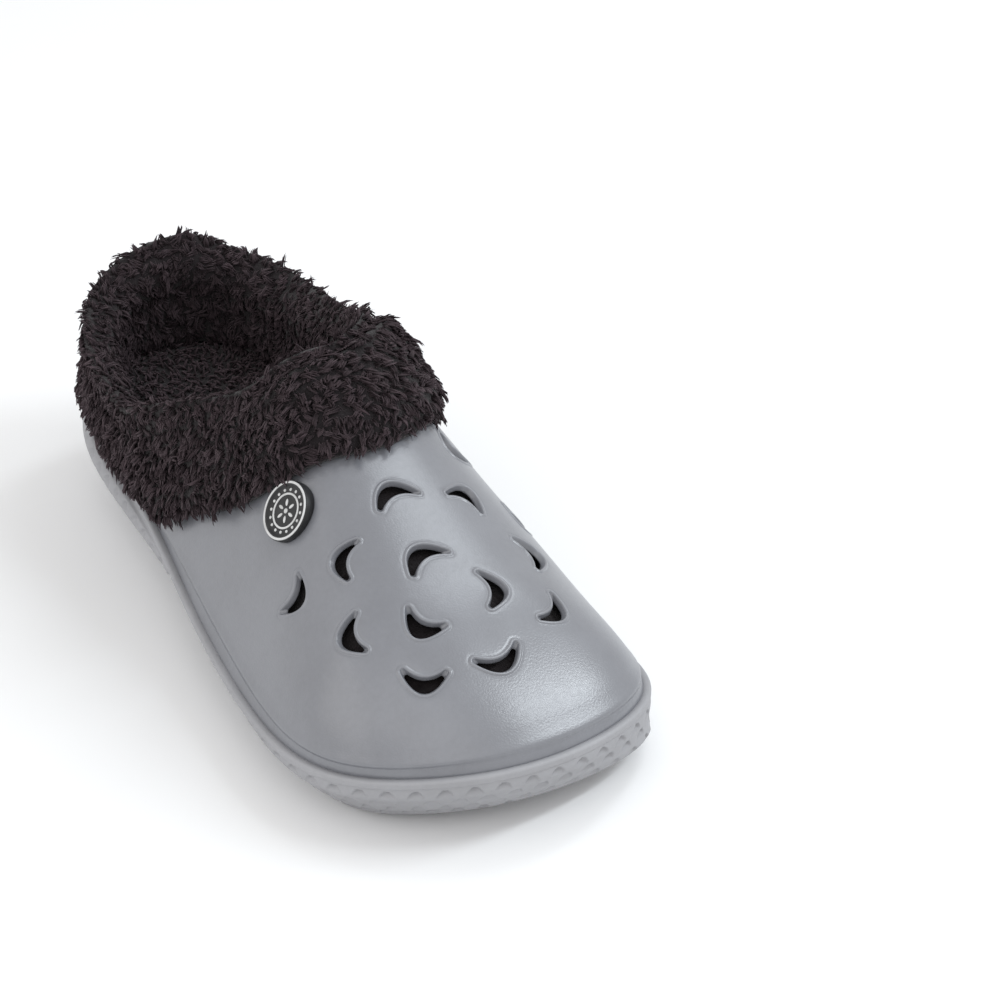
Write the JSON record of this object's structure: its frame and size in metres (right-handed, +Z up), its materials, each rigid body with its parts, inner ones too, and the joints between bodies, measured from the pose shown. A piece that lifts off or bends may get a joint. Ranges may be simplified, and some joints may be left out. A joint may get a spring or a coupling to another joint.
{
  "type": "clog",
  "caption": "Right-foot moulded foam clog with a folded fleece cuff round its collar, crescent vents over the toes and a round button on the lateral side.",
  "frame": {"origin": "middle of the shoe's box on the floor", "axes": "+Z up, -Y towards the toe, +Y towards the heel, +X towards the medial side of the right foot"},
  "size_m": [0.1086, 0.2676, 0.1012],
  "materials": {
    "sole_foam": "matte moulded foam with low half-moon relief round its side",
    "upper_foam": "satin moulded foam with a fine pebble grain",
    "insole_fleece": "short dark fleece pile",
    "cuff_fleece": "deep dark fleece in small curled locks",
    "badge_rubber": "black moulded rubber with raised white rings"
  },
  "bodies": {
    "root": {"sole": "sole_foam", "upper": "upper_foam", "insole": "insole_fleece", "cuff": "cuff_fleece", "badge": "badge_rubber"}
  },
  "joints": []
}
